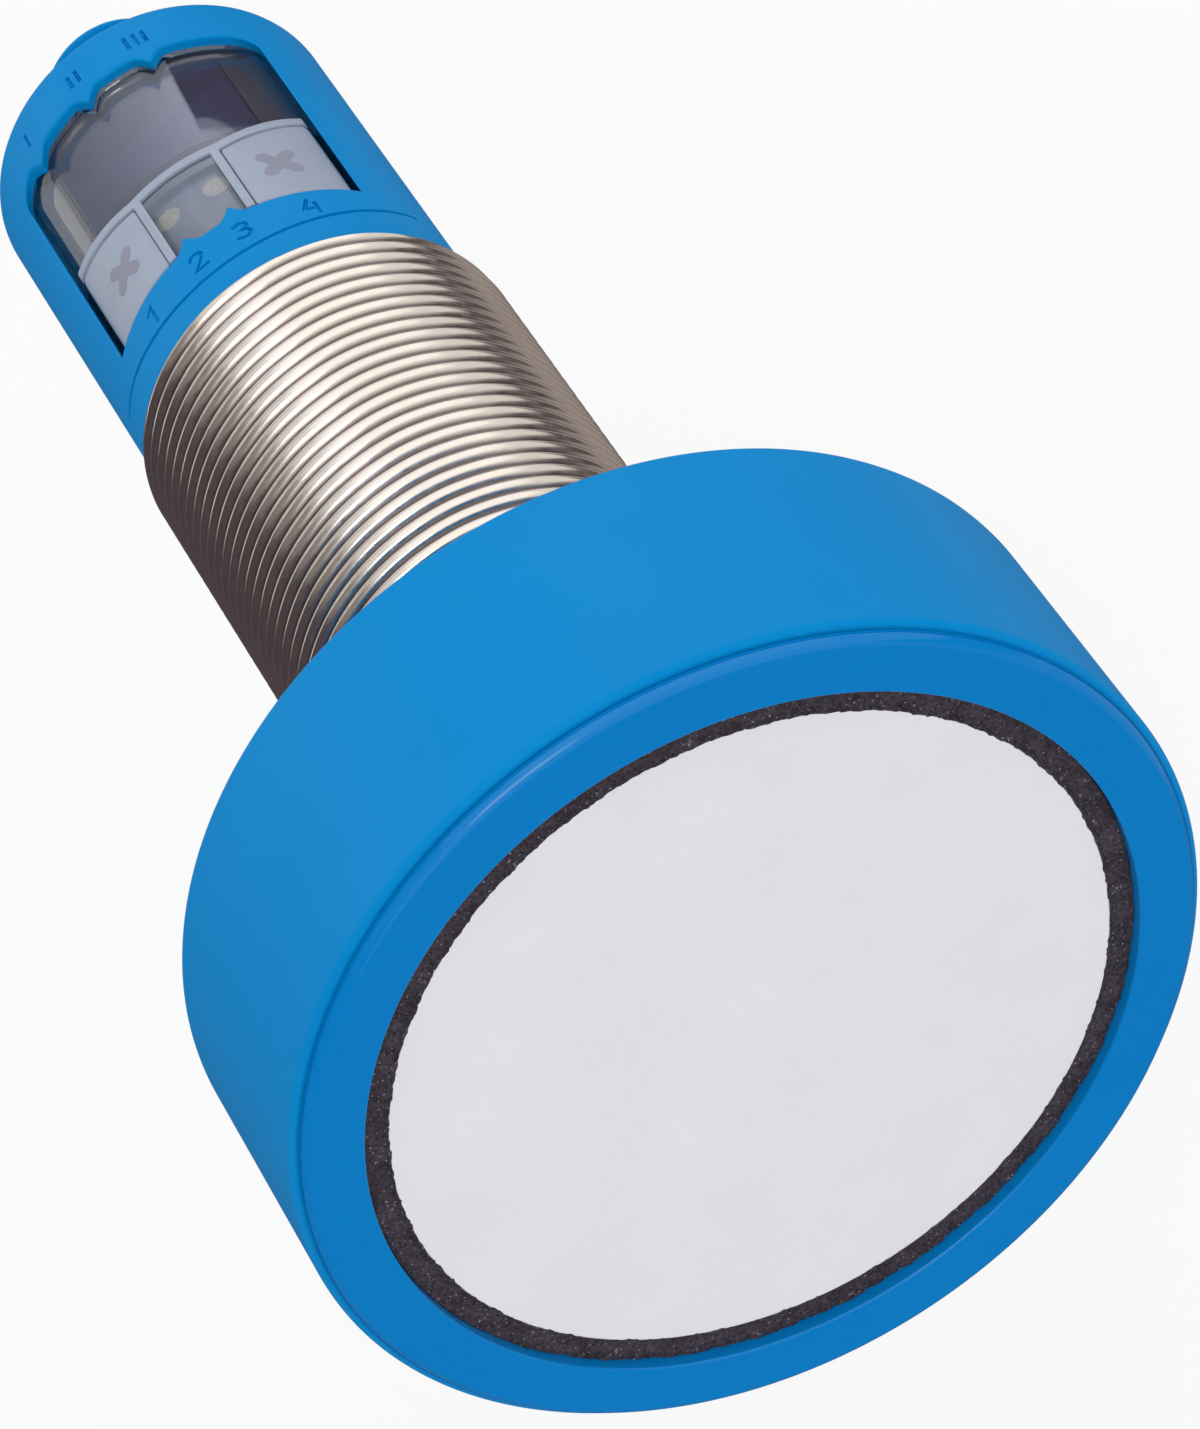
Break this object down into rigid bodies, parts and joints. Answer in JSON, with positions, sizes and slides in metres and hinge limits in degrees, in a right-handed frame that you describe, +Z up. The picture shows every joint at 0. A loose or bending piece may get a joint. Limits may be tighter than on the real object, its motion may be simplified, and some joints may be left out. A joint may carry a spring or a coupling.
{
  "type": "ultrasonic sensor",
  "caption": "Cylindrical ultrasonic distance sensor with a wide round transducer head, a threaded metal barrel, a windowed display with press keys, and a round plug connector.",
  "frame": {"origin": "on the sensor's axis, in the plane of the head's rear face, where the mounting thread starts", "axes": "+Y along the axis, from the head towards the plug; +Z up through the middle of the display window; the sensing face looks along -Y"},
  "size_m": [0.065, 0.1262, 0.065],
  "materials": {
    "blue_plastic": "fine moulded grain",
    "blue_gloss": "smooth moulded",
    "black_foam": "open-cell foam",
    "white_layer": "matt, fine specks",
    "ceramic": "silvered ceramic",
    "damping_rubber": "matt",
    "wire": "insulated wire",
    "seal_rubber": "matt",
    "nickel": "nickel-plated brass",
    "clear_pane": "clear moulded",
    "smoked_filter": "smoked, glossy",
    "grey_plastic": "moulded",
    "frosted_key": "frosted",
    "black_plastic": "moulded",
    "light_lens": "diffused lens",
    "display": "moulded",
    "board": "solder mask",
    "ferrite": "sintered",
    "aluminium_can": "drawn",
    "gold_contact": "gold-plated"
  },
  "bodies": {
    "sensor": {"head_housing": "blue_plastic", "rear_cap": "blue_plastic", "plug_shell": "blue_plastic", "front_ring": "blue_gloss", "foam_ring": "black_foam", "transducer_face": "white_layer", "piezo_disc": "ceramic", "damping_pad": "damping_rubber", "signal_lead": "wire", "ground_lead": "wire", "head_seal": "seal_rubber", "cap_seal": "seal_rubber", "plug_seal": "seal_rubber", "threaded_sleeve": "nickel", "window_pane": "clear_pane", "display_filter": "smoked_filter", "display_frame": "grey_plastic", "switch_left": "black_plastic", "switch_right": "black_plastic", "board_header": "black_plastic", "controller_chip": "black_plastic", "contact_carrier": "black_plastic", "status_led_1": "light_lens", "status_led_2": "light_lens", "display_module": "display", "display_board": "board", "main_board": "board", "pulse_transformer": "ferrite", "reservoir_capacitor": "aluminium_can", "contact_pin_1": "gold_contact", "contact_pin_2": "gold_contact", "contact_pin_3": "gold_contact", "contact_pin_4": "gold_contact", "contact_pin_5": "gold_contact"},
    "button_left": {"button_left": "frosted_key", "plunger_left": "black_plastic"},
    "button_right": {"button_right": "frosted_key", "plunger_right": "black_plastic"}
  },
  "joints": [
    {"name": "button_left_press", "type": "slide", "parent": "sensor", "child": "button_left", "axis": [0, 0, -1], "range_m": [0, 0.0004], "stiffness_N_per_m": 3000},
    {"name": "button_right_press", "type": "slide", "parent": "sensor", "child": "button_right", "axis": [0, 0, -1], "range_m": [0, 0.0004], "stiffness_N_per_m": 3000}
  ]
}
